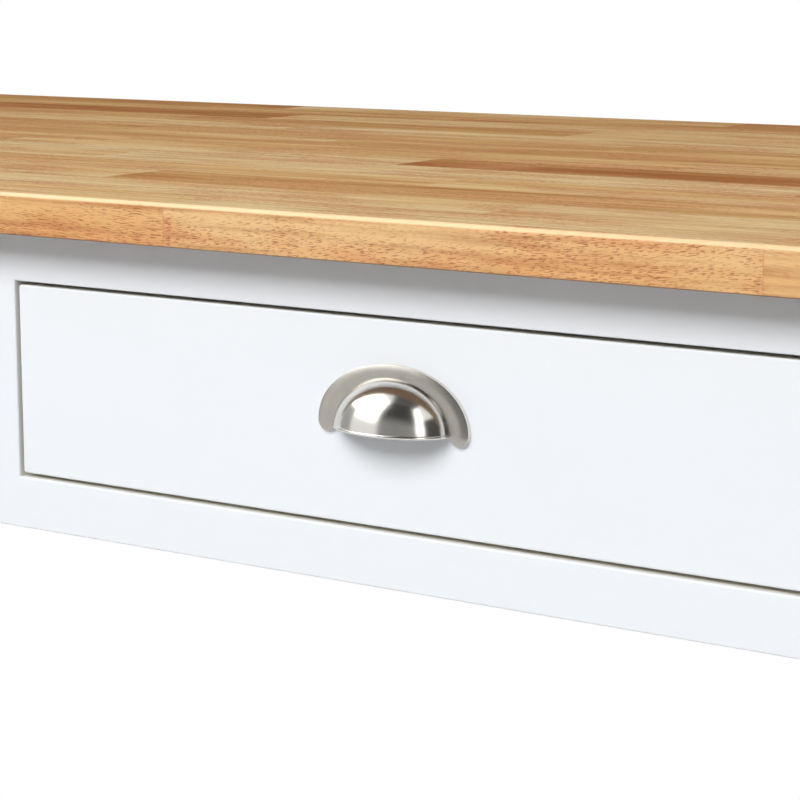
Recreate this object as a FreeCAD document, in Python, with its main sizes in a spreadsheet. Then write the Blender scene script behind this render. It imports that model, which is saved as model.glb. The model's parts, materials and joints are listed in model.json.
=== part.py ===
import FreeCAD, Part
import math
import os
import re
import Sketcher
from FreeCAD import Matrix, Placement, Rotation, Vector

# Driving sizes in millimetres. X runs along the front, -Y is the front, Z is up, and the floor is at zero.
SIZES = {
    # Worktop
    "cart_height": 900.0,
    "top_width": 1350.0,
    "top_depth": 700.0,
    "top_thickness": 21.0,
    "top_corner": 8.0,
    "top_arris": 2.5,
    "top_underedge": 0.8,
    "side_overhang": 25.0,
    "front_overhang": 20.0,
    # Legs and aprons
    "leg_size": 50.0,
    "leg_round": 3.0,
    "apron_setback": 5.0,
    "apron_thickness": 20.0,
    "upper_rail": 27.0,
    "opening_height": 102.0,
    "lower_rail": 27.0,
    "opening_width": 460.0,
    "mullion": 90.0,
    "edge_round": 1.0,
    # Corner blocks with their bolts, and the screws that hold the worktop
    "block_height": 40.0,
    "block_gap": 3.5,
    "block_reach": 77.0,
    "block_nose": 13.0,
    "hanger_radius": 3.0,
    "hanger_in_leg": 25.0,
    "hanger_tail": 14.0,
    "nut_radius": 5.8,
    "nut_height": 5.0,
    "screw_radius": 2.0,
    "screw_head_radius": 4.0,
    "screw_head_height": 2.2,
    "top_screw_bite": 14.0,
    "hole_fit": 0.1,
    # Drawer
    "drawer_gap": 2.0,
    "drawer_recess": 1.0,
    "drawer_front_thickness": 18.0,
    "drawer_corner": 1.6,
    "drawer_round": 1.2,
    "drawer_board": 12.0,
    "drawer_box_height": 72.0,
    "drawer_back_room": 101.0,
    "bottom_thickness": 5.0,
    "groove_lift": 10.0,
    "groove_depth": 6.0,
    "groove_play": 0.3,
    "front_screw_bite": 12.0,
    "front_screw_inset": 60.0,
    "front_screw_rise": 10.0,
    "front_screw_drop": 20.0,
    # Drawer runners and their rollers
    "runner_thickness": 18.0,
    "runner_height": 60.0,
    "runner_drop": 5.0,
    "slide_space": 13.0,
    "slide_gauge": 1.2,
    "slide_lift": 10.0,
    "slide_setback": 3.0,
    "slide_short": 10.0,
    "slide_lip_gap": 1.3,
    "slide_seat": 11.0,
    "slide_play": 1.1,
    "box_lift": 2.0,
    "roller_radius": 11.0,
    "roller_width": 7.0,
    "roller_gap": 1.0,
    "roller_rest": 0.3,
    "roller_play": 0.8,
    "roller_inset": 14.0,
    "roller_pin": 3.0,
    "rivet_head": 4.5,
    "rivet_head_height": 1.0,
    "pin_fit": 0.05,
    # Cup pull
    "pull_width": 82.0,
    "pull_rise": 29.0,
    "pull_drop": 5.4,
    "pull_leg_width": 9.7,
    "flange_thickness": 3.0,
    "cup_rise": 24.7,
    "cup_drop": 1.0,
    "cup_depth": 20.5,
    "cup_wall": 2.0,
    "pull_thread": 2.4,
    # Shelf
    "shelf_height": 190.0,
    "shelf_rail_height": 45.0,
    "slat_thickness": 15.0,
    "slat_count": 16.0,
    "slat_gap": 10.0,
    "slat_round": 2.0,
    "slat_leg_gap": 1.5,
    "rail_bolt_radius": 3.0,
    "rail_bolt_bite": 32.0,
    "rail_bolt_head": 7.0,
    "rail_bolt_head_height": 2.5,
    "barrel_radius": 5.0,
    "barrel_length": 14.0,
    "barrel_depth": 24.0,
    # Casters
    "wheel_radius": 25.0,
    "wheel_width": 20.0,
    "wheel_round": 4.0,
    "wheel_rim": 6.5,
    "wheel_hub": 8.0,
    "wheel_dish": 3.0,
    "caster_trail": 18.0,
    "axle_radius": 3.0,
    "axle_head_radius": 5.5,
    "axle_head_height": 2.5,
    "fork_side_gap": 1.0,
    "fork_plate": 2.5,
    "fork_head_room": 3.0,
    "fork_boss": 8.0,
    "fork_boss_flat": 0.4,
    "fork_nose": 13.0,
    "fork_shoulder": 11.0,
    "race_radius": 14.0,
    "race_height": 4.2,
    "swivel_gap": 0.3,
    "cap_radius": 16.0,
    "cap_height": 8.0,
    "kingpin_radius": 4.0,
    "kingpin_head": 7.0,
    "kingpin_head_height": 2.0,
    "stem_radius": 5.0,
    "stem_length": 25.0,
    "insert_wall": 2.5,
    "pedal_angle": 53.0,
    "pedal_hub": 4.5,
    "pedal_gap": 0.5,
    "pedal_pin": 2.5,
    "pedal_side_gap": 0.5,
    "pedal_length": 28.0,
    "pedal_thickness": 3.5,
    "pedal_edge": 0.7,
    "pedal_lift": 4.0,
    "pedal_margin": 6.0,
}

# Shared heights and places, written with the sizes above
TOP_UNDER = "(cart_height - top_thickness)"
FORK_LOW = "(2 * wheel_radius + fork_head_room)"
RACE_LOW = f"({FORK_LOW} + fork_plate)"
CAP_LOW = f"({RACE_LOW} + race_height + swivel_gap)"
LEG_LOW = f"({CAP_LOW} + cap_height)"
LEG_OUT_X = "(top_width / 2 - side_overhang)"
LEG_OUT_Y = "(top_depth / 2 - front_overhang)"
LEG_IN_X = f"({LEG_OUT_X} - leg_size)"
LEG_IN_Y = f"({LEG_OUT_Y} - leg_size)"
APRON_OUT_X = f"({LEG_OUT_X} - apron_setback)"
APRON_OUT_Y = f"({LEG_OUT_Y} - apron_setback)"
APRON_IN_X = f"({APRON_OUT_X} - apron_thickness)"
APRON_IN_Y = f"({APRON_OUT_Y} - apron_thickness)"
APRON_HEIGHT = "(upper_rail + opening_height + lower_rail)"
APRON_LOW = f"({TOP_UNDER} - {APRON_HEIGHT})"
OPENING_LOW = f"({APRON_LOW} + lower_rail)"
LEG_MID_X = f"({LEG_OUT_X} - leg_size / 2)"
LEG_MID_Y = f"({LEG_OUT_Y} - leg_size / 2)"
OPENING_FAR = "(mullion / 2 + opening_width)"
DRAWER_MID = "((mullion + opening_width) / 2)"

FRONT_FACE = f"(drawer_recess - {APRON_OUT_Y})"
FRONT_BACK = f"({FRONT_FACE} + drawer_front_thickness)"
FRONT_WIDTH = "(opening_width - 2 * drawer_gap)"
FRONT_HEIGHT = "(opening_height - 2 * drawer_gap)"
FRONT_LOW = f"({OPENING_LOW} + drawer_gap)"
FRONT_MID = f"({FRONT_LOW} + {FRONT_HEIGHT} / 2)"
BOX_HALF = "(opening_width / 2 - slide_space)"
BOX_INSIDE = f"({BOX_HALF} - drawer_board)"
SLIDE_LOW = f"({OPENING_LOW} + slide_lift)"
BOX_LOW = f"({SLIDE_LOW} + box_lift)"
BOX_BACK = f"({APRON_IN_Y} - drawer_back_room)"
BOX_DEPTH = f"({BOX_BACK} - {FRONT_BACK})"
BOX_FRONT_INSIDE = f"({FRONT_BACK} + drawer_board)"
GROOVE_LOW = f"({BOX_LOW} + groove_lift)"
BOTTOM_TOP = f"({GROOVE_LOW} + bottom_thickness)"
SLIDE_FRONT = f"({FRONT_BACK} + slide_setback)"
SLIDE_LENGTH = f"({BOX_DEPTH} - slide_short)"
TRACK_LOW = f"({SLIDE_LOW} + slide_gauge + roller_play + 2 * roller_radius + roller_rest)"
TRACK_TOP = f"({TRACK_LOW} + slide_gauge)"
CHANNEL_HEIGHT = f"({TRACK_TOP} + slide_play + slide_gauge - {SLIDE_LOW})"
CHANNEL_WIDTH = "(slide_space - slide_gauge - slide_lip_gap)"
PIN_REACH = "(roller_gap + roller_width + roller_rest)"

LEG_CORNER = "(leg_size - apron_setback - apron_thickness)"
BLOCK_HEEL = f"(2 * {LEG_CORNER} + block_gap * sqrt(2))"
BLOCK_FACE = "((block_reach + block_nose) / sqrt(2))"
BLOCK_LOW = f"({TOP_UNDER} - block_height)"
BLOCK_MID = f"({TOP_UNDER} - block_height / 2)"
BLOCK_CENTRE = f"(({BLOCK_HEEL} + block_reach + block_nose) / 4)"

PULL_HALF = "(pull_width / 2)"
PULL_LEG_MID = f"({PULL_HALF} - pull_leg_width / 2)"
PULL_LEG_CENTRE = "(pull_leg_width / 2 - pull_drop)"
RAIL_TOP = "(shelf_height - slat_thickness)"
RAIL_MID_Y = f"({APRON_IN_Y} + apron_thickness / 2)"
RAIL_MID_Z = f"({RAIL_TOP} - shelf_rail_height / 2)"
FORK_HALF = "(wheel_width / 2 + fork_side_gap)"
PEDAL_REACH = "(wheel_radius + pedal_hub + pedal_gap)"
PEDAL_Y = f"(caster_trail + {PEDAL_REACH} * cos(pedal_angle))"
PEDAL_Z = f"(wheel_radius + {PEDAL_REACH} * sin(pedal_angle))"

# How near a number comes to another, or a line to a direction, to count as the same
NEAR = 0.001
ALONG = {"x": Vector(1, 0, 0), "y": Vector(0, 1, 0), "z": Vector(0, 0, 1)}
SIZE_NAME = re.compile(r"\b(" + "|".join(sorted(SIZES, key=len, reverse=True)) + r")\b")

doc = FreeCAD.newDocument("kitchen_cart")
sheet = doc.addObject("Spreadsheet::Sheet", "sizes")
for row, (alias, size) in enumerate(SIZES.items(), start=1):
    sheet.set(f"A{row}", alias)
    sheet.set(f"B{row}", str(size))
    sheet.setAlias(f"B{row}", alias)
doc.recompute()


def bound(text):
    """The expression that reads the sheet's cells for the sizes named in text."""
    return SIZE_NAME.sub(r"sizes.\1", text)


def number(text):
    """What text comes to with the sheet's present sizes."""
    return float(sheet.evalExpression(bound(text)))


def place(thing, spot):
    for axis, text in zip("xyz", spot):
        thing.setExpression(f"Placement.Base.{axis}", bound(text))
    return thing


def box(name, size, corner):
    block = doc.addObject("Part::Box", name)
    for side, text in zip(("Length", "Width", "Height"), size):
        block.setExpression(side, bound(text))
    return place(block, corner)


def rod(name, radius, length, start, direction):
    """A cylinder that begins at start and runs along direction."""
    cylinder = doc.addObject("Part::Cylinder", name)
    cylinder.setExpression("Radius", bound(radius))
    cylinder.setExpression("Height", bound(length))
    cylinder.Placement = Placement(Vector(), Rotation(Vector(0, 0, 1), direction))
    return place(cylinder, start)


def hexagon(name, radius, length, start, direction):
    """A six-sided bar that begins at start and runs along direction, with this radius over its corners."""
    bar = doc.addObject("Part::Prism", name)
    bar.Polygon = 6
    bar.setExpression("Circumradius", bound(radius))
    bar.setExpression("Height", bound(length))
    bar.Placement = Placement(Vector(), Rotation(Vector(0, 0, 1), direction))
    return place(bar, start)


def group(name, things):
    several = doc.addObject("Part::Compound", name)
    several.Links = things
    return several


def joined(name, things):
    whole = doc.addObject("Part::MultiFuse", name)
    whole.Shapes = things
    return whole


def cut(name, base, tools):
    rest = doc.addObject("Part::Cut", name)
    rest.Base = base
    rest.Tool = tools[0] if len(tools) == 1 else group(name + "_holes", tools)
    return rest


def mirrored(name, thing, axis):
    other = doc.addObject("Part::Mirroring", name)
    other.Source = thing
    other.Normal = ALONG[axis]
    return other


def pair(name, thing):
    """The thing and its mirror image on the left, as one group."""
    return group(name, [thing, mirrored(name + "_left", thing, "x")])


def four(name, thing):
    """The thing at all four corners, as one group."""
    front = pair(name + "_front", thing)
    return group(name, [front, mirrored(name + "_back", front, "y")])


def hold(sketch, kind, line, text):
    """Fix a line's first point by its distance from the sketch's origin."""
    index = sketch.addConstraint(Sketcher.Constraint(kind, -1, 1, line, 1, number(text)))
    name = f"{kind}_{line}"
    sketch.renameConstraint(index, name)
    sketch.setExpression(f"Constraints.{name}", bound(text))


def outline(sketch, points):
    """Add one closed outline with straight sides."""
    first = sketch.GeometryCount
    count = len(points)
    spots = [Vector(number(u), number(v), 0) for u, v in points]
    for index in range(count):
        sketch.addGeometry(Part.LineSegment(spots[index], spots[(index + 1) % count]))
    for index in range(count):
        following = first + (index + 1) % count
        sketch.addConstraint(Sketcher.Constraint("Coincident", first + index, 2, following, 1))
    for index, (u, v) in enumerate(points):
        hold(sketch, "DistanceX", first + index, u)
        hold(sketch, "DistanceY", first + index, v)


def profile(body, plane, outlines):
    """A sketch on one of the body's own origin planes."""
    sketch = body.newObject("Sketcher::SketchObject", body.Name + "_profile")
    role = plane + "_Plane"
    support = next(item for item in body.Origin.OriginFeatures if item.Role == role)
    sketch.AttachmentSupport = [(support, "")]
    sketch.MapMode = "FlatFace"
    for points in outlines:
        outline(sketch, points)
    return sketch


def prism(name, plane, outlines, length, corner):
    """A body padded from its outlines towards +X, +Y or +Z."""
    body = doc.addObject("PartDesign::Body", name)
    pad = body.newObject("PartDesign::Pad", name + "_pad")
    pad.Profile = profile(body, plane, outlines)
    pad.Reversed = plane == "XZ"
    pad.setExpression("Length", bound(length))
    return place(body, corner)


def rectangle(width, height, left="0", low="0"):
    right = f"{left} + {width}"
    high = f"{low} + {height}"
    return [(left, low), (right, low), (right, high), (left, high)]


def turned(name, points, spot):
    """A body turned about its own X axis."""
    body = doc.addObject("PartDesign::Body", name)
    sketch = profile(body, "XY", [points])
    turn = body.newObject("PartDesign::Revolution", name + "_turn")
    turn.Profile = sketch
    turn.ReferenceAxis = (sketch, ["H_Axis"])
    turn.Angle = 360
    return place(body, spot)


def rounded(body, picks, radius):
    """Round the edges of the body's last feature that picks accepts."""
    doc.recompute()
    base = body.Tip
    edges = [f"Edge{n}" for n, edge in enumerate(base.Shape.Edges, start=1) if picks(edge)]
    fillet = body.newObject("PartDesign::Fillet", body.Name + "_round")
    fillet.Base = (base, edges)
    fillet.setExpression("Radius", bound(radius))
    return body


def runs(axis):
    """Picks straight edges parallel to an axis."""
    def test(edge):
        ends = edge.Vertexes
        span = ends[-1].Point - ends[0].Point
        return len(ends) == 2 and abs(span.dot(ALONG[axis])) > (1 - NEAR) * span.Length
    return test


def at(axis, text):
    """Picks edges that lie wholly at one coordinate of the body."""
    level = number(text)

    def test(edge):
        return all(abs(end.Point.dot(ALONG[axis]) - level) < NEAR for end in edge.Vertexes)
    return test


def both(first, second):
    return lambda edge: first(edge) and second(edge)


def fastener(name, spot, direction, radius, length, head_radius, head_height):
    """A screw or bolt whose head sits on a surface at spot and whose shank runs along direction."""
    shank = rod(name + "_shank", radius, length, spot, direction)
    head = rod(name + "_head", head_radius, head_height, spot, direction * -1)
    return joined(name, [shank, head])


def diagonal(distance):
    """A point of the front right corner, this far from where the aprons' inner faces cross."""
    return (f"{APRON_IN_X} - {distance} / sqrt(2)", f"{distance} / sqrt(2) - {APRON_IN_Y}", BLOCK_MID)


INWARD = Vector(-1, 1, 0)
LEG_EDGE = f"({LEG_CORNER} * sqrt(2))"


def worktop():
    corner = ("-top_width / 2", "-top_depth / 2", TOP_UNDER)
    blank = prism("worktop_blank", "XY", [rectangle("top_width", "top_depth")], "top_thickness", corner)
    rounded(blank, runs("z"), "top_corner")
    rounded(blank, at("z", "top_thickness"), "top_arris")
    rounded(blank, at("z", "0"), "top_underedge")
    hole = rod("top_hole", "screw_radius", "top_screw_bite", top_screw_spot(TOP_UNDER), ALONG["z"])
    return [cut("worktop", blank, [four("top_holes", hole)])]


def top_screw_spot(height):
    return (f"{APRON_IN_X} - {BLOCK_CENTRE}", f"{BLOCK_CENTRE} - {APRON_IN_Y} + block_nose", height)


def legs():
    blank = prism("leg_blank", "XY", [rectangle("leg_size", "leg_size")], f"{TOP_UNDER} - {LEG_LOW}",
                  (LEG_IN_X, f"-{LEG_OUT_Y}", LEG_LOW))
    rounded(blank, runs("z"), "leg_round")
    hanger = rod("leg_hanger_hole", "hanger_radius + hole_fit", "hanger_in_leg + hole_fit",
                 diagonal(LEG_EDGE), INWARD * -1)
    socket = rod("leg_socket", "stem_radius + insert_wall + hole_fit", "stem_length + hole_fit",
                 (LEG_MID_X, f"-{LEG_MID_Y}", LEG_LOW), ALONG["z"])
    bolt_hole = rod("leg_rail_hole", "rail_bolt_radius + hole_fit", "leg_size",
                    (LEG_IN_X, f"-{RAIL_MID_Y}", RAIL_MID_Z), ALONG["x"])
    front_right = cut("front_right_leg", blank, [hanger, socket, bolt_hole])
    back_right = mirrored("back_right_leg", front_right, "y")
    front_left = mirrored("front_left_leg", front_right, "x")
    back_left = mirrored("back_left_leg", back_right, "x")
    return [front_left, front_right, back_left, back_right]


def aprons():
    length = f"2 * {LEG_IN_X}"
    lefts = (f"({LEG_IN_X} - {OPENING_FAR})", f"({LEG_IN_X} + mullion / 2)")
    openings = [rectangle("opening_width", "opening_height", left, "lower_rail") for left in lefts]
    front = prism("front_apron", "XZ", [rectangle(length, APRON_HEIGHT), *openings], "apron_thickness",
                  (f"-{LEG_IN_X}", f"-{APRON_OUT_Y}", APRON_LOW))
    face = at("y", "0")
    sides = [at("x", "0"), at("x", length), at("z", APRON_HEIGHT)]
    rounded(front, lambda edge: face(edge) and not any(side(edge) for side in sides), "edge_round")
    back = prism("back_apron", "XZ", [rectangle(length, APRON_HEIGHT)], "apron_thickness",
                 (f"-{LEG_IN_X}", APRON_IN_Y, APRON_LOW))
    rounded(back, both(runs("x"), at("z", "0")), "edge_round")
    right = prism("right_apron", "YZ", [rectangle(f"2 * {LEG_IN_Y}", APRON_HEIGHT)], "apron_thickness",
                  (APRON_IN_X, f"-{LEG_IN_Y}", APRON_LOW))
    rounded(right, both(runs("y"), at("z", "0")), "edge_round")
    return [front, back, mirrored("left_apron", right, "x"), right]


def corner_joints():
    points = [(f"-{BLOCK_HEEL}", "0"), ("-block_reach", "0"), ("-block_reach", "block_nose"),
              ("-block_nose", "block_reach"), ("0", "block_reach"), ("0", BLOCK_HEEL)]
    blank = prism("block_blank", "XY", [points], "block_height", (APRON_IN_X, f"-{APRON_IN_Y}", BLOCK_LOW))
    bolt_hole = rod("block_bolt_hole", "hanger_radius + hole_fit", BLOCK_FACE, diagonal("0"), INWARD)
    screw_hole = rod("block_screw_hole", "screw_radius + hole_fit", "block_height",
                     top_screw_spot(BLOCK_LOW), ALONG["z"])
    block = cut("corner_block", blank, [bolt_hole, screw_hole])
    start = f"({LEG_EDGE} - hanger_in_leg)"
    length = f"({BLOCK_FACE} - {start} + hanger_tail)"
    hanger = rod("hanger_bolt", "hanger_radius", length, diagonal(start), INWARD)
    nut_blank = hexagon("nut_blank", "nut_radius", "nut_height", diagonal(BLOCK_FACE), INWARD)
    nut_hole = rod("nut_hole", "hanger_radius + pin_fit", "nut_height", diagonal(BLOCK_FACE), INWARD)
    nut = cut("hanger_nut", nut_blank, [nut_hole])
    screw = fastener("top_screw", top_screw_spot(BLOCK_LOW), ALONG["z"], "screw_radius",
                     "block_height + top_screw_bite", "screw_head_radius", "screw_head_height")
    return [four("corner_blocks", block), four("hanger_bolts", hanger), four("hanger_nuts", nut),
            four("top_screws", screw)]


def runner_boards():
    """Boards from the front apron to the back one, flush with the sides of the drawer openings."""
    low = f"{OPENING_LOW} - runner_drop"
    length = f"2 * {APRON_IN_Y}"
    outer = prism("outer_runner_board", "XY", [rectangle("runner_thickness", length)], "runner_height",
                  (OPENING_FAR, f"-{APRON_IN_Y}", low))
    centre = prism("centre_runner_board", "XY", [rectangle("mullion", length)], "runner_height",
                   ("-mullion / 2", f"-{APRON_IN_Y}", low))
    return [pair("outer_runner_boards", outer), centre]


def rivet(name, start, direction):
    """A roller's pin with its head, standing on a channel's web at start."""
    x, y, z = start
    sign = "+" if direction.x > 0 else "-"
    shank = rod(name + "_shank", "roller_pin", PIN_REACH, start, direction)
    tip = (f"{x} {sign} {PIN_REACH}", y, z)
    head = rod(name + "_head", "rivet_head", "rivet_head_height", tip, direction)
    return [shank, head]


def roller(name, low_x, y, z):
    rim = rod(name + "_rim", "roller_radius", "roller_width", (low_x, y, z), ALONG["x"])
    bore = rod(name + "_bore", "roller_pin + pin_fit", "roller_width", (low_x, y, z), ALONG["x"])
    return cut(name, rim, [bore])


def cabinet_slides():
    """The channels on a drawer's two runner boards, with a roller at the front of each."""
    high = CHANNEL_HEIGHT
    under = f"({high} - slide_gauge)"
    lip = f"-{CHANNEL_WIDTH}"
    points = [("0", "0"), ("0", high), (lip, high), (lip, under), ("-slide_gauge", under),
              ("-slide_gauge", "slide_gauge"), (lip, "slide_gauge"), (lip, "0")]
    channel = prism("fixed_channel", "XZ", [points], SLIDE_LENGTH,
                    ("opening_width / 2", SLIDE_FRONT, SLIDE_LOW))
    web = "opening_width / 2 - slide_gauge"
    y = f"{SLIDE_FRONT} + roller_inset"
    z = f"{SLIDE_LOW} + slide_gauge + roller_play + roller_radius"
    slide = joined("cabinet_slide", [channel, *rivet("cabinet_rivet", (web, y, z), ALONG["x"] * -1)])
    wheel = roller("cabinet_roller", f"{web} - roller_gap - roller_width", y, z)
    return [pair("cabinet_slides", slide), pair("cabinet_rollers", wheel)]


def drawer_slides():
    """The channels under a drawer's two sides, with a roller at the back of each."""
    high = f"({TRACK_TOP} - {BOX_LOW})"
    under = f"({TRACK_LOW} - {BOX_LOW})"
    lip = "(slide_space - slide_gauge - roller_gap)"
    points = [("-slide_seat", "-slide_gauge"), ("slide_gauge", "-slide_gauge"), ("slide_gauge", under),
              (lip, under), (lip, high), ("0", high), ("0", "0"), ("-slide_seat", "0")]
    channel = prism("moving_channel", "XZ", [points], SLIDE_LENGTH, (BOX_HALF, FRONT_BACK, BOX_LOW))
    web = f"{BOX_HALF} + slide_gauge"
    y = f"{FRONT_BACK} + {SLIDE_LENGTH} - roller_inset"
    z = f"{SLIDE_LOW} + slide_gauge + roller_rest + roller_radius"
    slide = joined("drawer_slide", [channel, *rivet("drawer_rivet", (web, y, z), ALONG["x"])])
    wheel = roller("drawer_roller", f"{web} + roller_gap", y, z)
    return [pair("drawer_slides", slide), pair("drawer_rollers", wheel)]


def pull_screw_spot(y):
    return (PULL_LEG_MID, y, f"{FRONT_MID} + {PULL_LEG_CENTRE}")


def front_screw_spots(y):
    x = f"{BOX_INSIDE} - front_screw_inset"
    low = f"{BOTTOM_TOP} + front_screw_rise"
    high = f"{BOX_LOW} + drawer_box_height - front_screw_drop"
    return [(x, y, low), (x, y, high)]


def drawer_front():
    face = rectangle(FRONT_WIDTH, FRONT_HEIGHT)
    blank = prism("drawer_front_blank", "XZ", [face], "drawer_front_thickness",
                  (f"-{FRONT_WIDTH} / 2", FRONT_FACE, FRONT_LOW))
    rounded(blank, runs("y"), "drawer_corner")
    rounded(blank, at("y", "0"), "drawer_round")
    pull_hole = rod("front_pull_hole", "screw_radius + hole_fit", "drawer_front_thickness",
                    pull_screw_spot(FRONT_BACK), ALONG["y"] * -1)
    holes = [pair("front_pull_holes", pull_hole)]
    for number_in_row, spot in enumerate(front_screw_spots(FRONT_BACK), start=1):
        name = f"front_hole_{number_in_row}"
        hole = rod(name, "screw_radius", "front_screw_bite", spot, ALONG["y"] * -1)
        holes.append(pair(name + "_pair", hole))
    return cut("drawer_front", blank, holes)


def drawer_box_front():
    section = rectangle(f"2 * {BOX_INSIDE}", "drawer_board")
    blank = prism("box_front_blank", "XY", [section], "drawer_box_height",
                  (f"-{BOX_INSIDE}", FRONT_BACK, BOX_LOW))
    groove = box("box_front_groove", (f"2 * {BOX_INSIDE}", "groove_depth", "bottom_thickness + groove_play"),
                 (f"-{BOX_INSIDE}", f"{BOX_FRONT_INSIDE} - groove_depth", GROOVE_LOW))
    holes = []
    spots = [pull_screw_spot(FRONT_BACK), *front_screw_spots(FRONT_BACK)]
    for number_in_row, spot in enumerate(spots, start=1):
        name = f"box_front_hole_{number_in_row}"
        hole = rod(name, "screw_radius + hole_fit", "drawer_board", spot, ALONG["y"])
        holes.append(pair(name + "_pair", hole))
    return cut("drawer_box_front", blank, [groove, *holes])


def drawer_box():
    side_blank = prism("side_blank", "XY", [rectangle("drawer_board", BOX_DEPTH)], "drawer_box_height",
                       (BOX_INSIDE, FRONT_BACK, BOX_LOW))
    rounded(side_blank, both(runs("y"), at("z", "drawer_box_height")), "edge_round")
    groove = box("side_groove", ("groove_depth", BOX_DEPTH, "bottom_thickness + groove_play"),
                 (BOX_INSIDE, FRONT_BACK, GROOVE_LOW))
    side = cut("drawer_side", side_blank, [groove])
    back = prism("drawer_back", "XY", [rectangle(f"2 * {BOX_INSIDE}", "drawer_board")],
                 f"{BOX_LOW} + drawer_box_height - {BOTTOM_TOP}",
                 (f"-{BOX_INSIDE}", f"{BOX_BACK} - drawer_board", BOTTOM_TOP))
    rounded(back, both(runs("x"), at("z", f"{BOX_LOW} + drawer_box_height - {BOTTOM_TOP}")), "edge_round")
    tongue = "(groove_depth - groove_play)"
    sheet_of_ply = rectangle(f"2 * ({BOX_INSIDE} + {tongue})", f"{BOX_BACK} - {BOX_FRONT_INSIDE} + {tongue}")
    bottom = prism("drawer_bottom", "XY", [sheet_of_ply], "bottom_thickness",
                   (f"-{BOX_INSIDE} - {tongue}", f"{BOX_FRONT_INSIDE} - {tongue}", GROOVE_LOW))
    return [pair("drawer_sides", side), back, bottom]


def drawer_screws():
    pull_screw = fastener("pull_screw", pull_screw_spot(BOX_FRONT_INSIDE), ALONG["y"] * -1, "screw_radius",
                          "drawer_board + drawer_front_thickness + pull_thread", "screw_head_radius",
                          "screw_head_height")
    front_pairs = []
    for number_in_row, spot in enumerate(front_screw_spots(BOX_FRONT_INSIDE), start=1):
        name = f"front_screw_{number_in_row}"
        screw = fastener(name, spot, ALONG["y"] * -1, "screw_radius", "drawer_board + front_screw_bite",
                         "screw_head_radius", "screw_head_height")
        front_pairs.append(pair(name + "_pair", screw))
    return [pair("pull_screws", pull_screw), group("front_screws", front_pairs)]


def cup_ellipsoid(half_width, rise, depth):
    """The whole egg shape that the cup is a quarter of, lying with the pull's face up."""
    stretch = Matrix(half_width, 0, 0, 0, 0, rise, 0, 0, 0, 0, depth, 0, 0, 0, 0, 1)
    return Part.makeSphere(1.0).transformGeometry(stretch)


def pull_flange(half_width, rise, thickness):
    """Half-moon plate with a rounded leg at each end, lying flat."""
    leg_mid = number(PULL_LEG_MID)
    leg_low = number(PULL_LEG_CENTRE)
    leg_radius = number("pull_leg_width / 2")
    arc = Part.ArcOfEllipse(Part.Ellipse(Vector(), half_width, rise), 0, math.pi).toShape()
    chord = Part.makeLine(Vector(-half_width, 0, 0), Vector(half_width, 0, 0))
    plate = Part.Face(Part.Wire([arc, chord])).extrude(Vector(0, 0, thickness))
    for side in (-1, 1):
        strip_corner = Vector(side * leg_mid - leg_radius, leg_low, 0)
        strip = Part.makeBox(2 * leg_radius, -leg_low, thickness, strip_corner)
        tip = Part.makeCylinder(leg_radius, thickness, Vector(side * leg_mid, leg_low, 0))
        plate = plate.fuse([strip, tip])
    return plate


def cup_pull():
    """Half-moon cup with a flat flange, open below and behind, screwed on through its two legs."""
    half = number(PULL_HALF)
    cup_half = half - number("pull_leg_width")
    cup_rise = number("cup_rise")
    cup_depth = number("cup_depth")
    wall = number("cup_wall")
    drop = Vector(0, -number("cup_drop"), 0)
    cup = cup_ellipsoid(cup_half, cup_rise, cup_depth)
    front_and_above = Part.makeBox(2 * half, cup_rise, cup_depth, Vector(-half, 0, 0))
    cup = cup.common(front_and_above).translated(drop)
    hollow = cup_ellipsoid(cup_half - wall, cup_rise - wall, cup_depth - wall).translated(drop)
    plate = pull_flange(half, number("pull_rise"), number("flange_thickness"))
    shape = plate.fuse(cup).cut(hollow)
    for side in (-1, 1):
        spot = Vector(side * number(PULL_LEG_MID), number(PULL_LEG_CENTRE), 0)
        shape = shape.cut(Part.makeCylinder(number("screw_radius"), number("pull_thread"), spot))
    pull = doc.addObject("Part::Feature", "cup_pull")
    pull.Shape = shape.removeSplitter()
    pull.Placement = Placement(Vector(), Rotation(ALONG["x"], 90))
    return place(pull, ("0", FRONT_FACE, FRONT_MID))


def shelf_rails():
    """The rails under the slats' front and back ends, each drilled at both ends for its bolts."""
    blank = prism("rail_blank", "XZ", [rectangle(f"2 * {LEG_IN_X}", "shelf_rail_height")], "apron_thickness",
                  (f"-{LEG_IN_X}", f"-{APRON_OUT_Y}", f"{RAIL_TOP} - shelf_rail_height"))
    rounded(blank, both(runs("x"), at("z", "0")), "edge_round")
    bolt_hole = rod("rail_bolt_hole", "rail_bolt_radius + hole_fit", "rail_bolt_bite + hole_fit",
                    (LEG_IN_X, f"-{RAIL_MID_Y}", RAIL_MID_Z), ALONG["x"] * -1)
    barrel_hole = rod("rail_barrel_hole", "barrel_radius + hole_fit", "(apron_thickness + barrel_length) / 2",
                      (f"{LEG_IN_X} - barrel_depth", f"-{APRON_IN_Y}", RAIL_MID_Z), ALONG["y"] * -1)
    end_holes = joined("rail_end_holes", [bolt_hole, barrel_hole])
    front = cut("shelf_front_rail", blank, [end_holes, mirrored("rail_left_holes", end_holes, "x")])
    return [front, mirrored("shelf_back_rail", front, "y")]


def shelf_slats():
    """Slats that lie on the rails from front to back, side by side between the legs."""
    room = f"(2 * ({LEG_IN_X} - slat_leg_gap))"
    width = f"(({room} - (slat_count - 1) * slat_gap) / slat_count)"
    slats = []
    for index in range(round(number("slat_count"))):
        low_x = f"{index} * ({width} + slat_gap) - {room} / 2"
        slat = prism(f"slat_{index + 1}", "XY", [rectangle(width, f"2 * {APRON_OUT_Y}")], "slat_thickness",
                     (low_x, f"-{APRON_OUT_Y}", RAIL_TOP))
        slats.append(rounded(slat, at("z", "slat_thickness"), "slat_round"))
    return group("shelf_slats", slats)


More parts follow.
